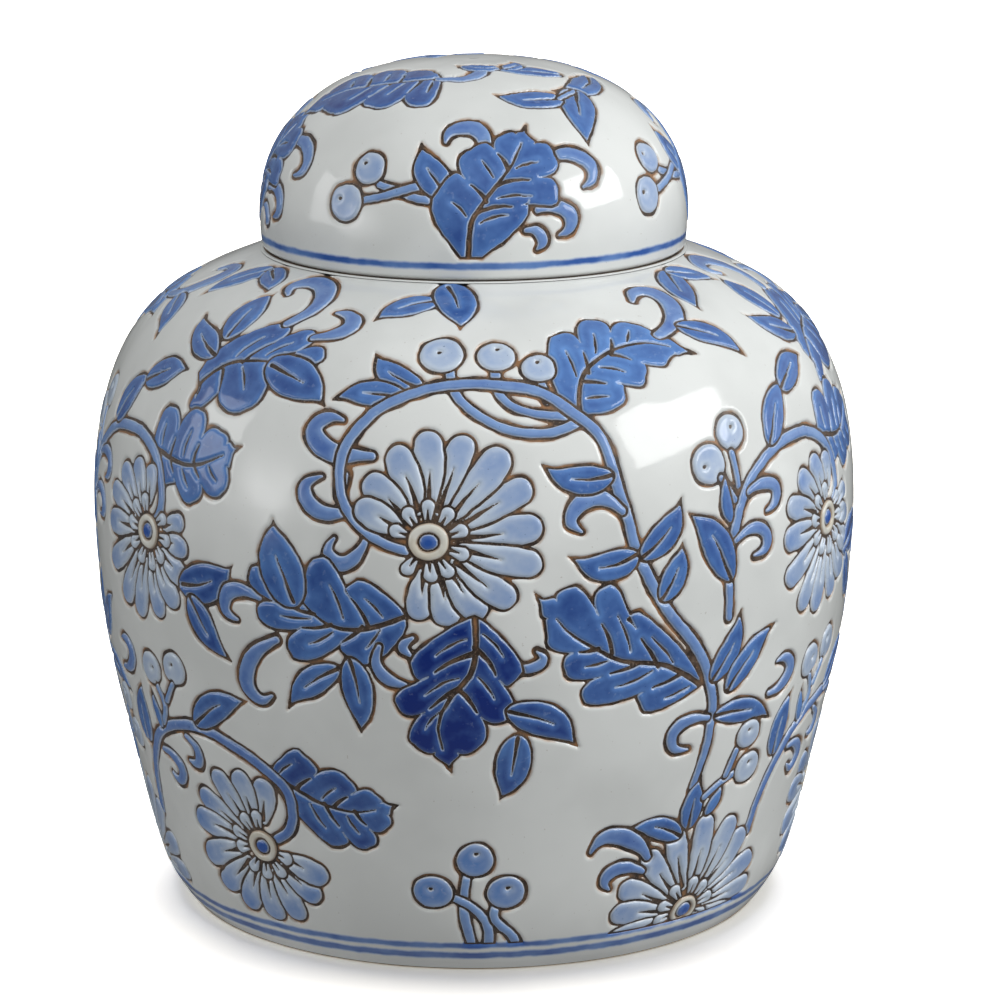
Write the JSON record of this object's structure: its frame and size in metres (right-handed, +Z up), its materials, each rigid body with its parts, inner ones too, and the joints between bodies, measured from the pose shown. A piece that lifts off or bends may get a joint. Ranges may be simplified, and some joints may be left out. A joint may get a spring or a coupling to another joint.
{
  "type": "ginger jar",
  "caption": "Wide-bellied lidded ceramic ginger jar: hollow body with an open neck, and a domed cap that lifts straight off.",
  "frame": {"origin": "centre of the foot ring's underside, on the surface the jar stands on", "axes": "+Z up along the axis both pieces were turned on; -Y is the side the decoration faces"},
  "size_m": [0.254, 0.254, 0.28],
  "materials": {
    "white_glaze": "glossy slightly grey white glaze",
    "deep_blue_glaze": "glossy puffed deep blue glaze",
    "mid_blue_glaze": "glossy puffed mid blue glaze",
    "pale_blue_glaze": "glossy puffed pale blue glaze",
    "brown_line": "matt dark brown line sunk between the glazes",
    "bare_clay": "unglazed buff clay, matt"
  },
  "bodies": {
    "jar": {"jar_body": "white_glaze"},
    "cap": {"lid": "white_glaze"}
  },
  "joints": [
    {"name": "lid_lift", "type": "slide", "parent": "jar", "child": "cap", "axis": [0, 0, 1], "range_m": [0, 0.1]}
  ]
}
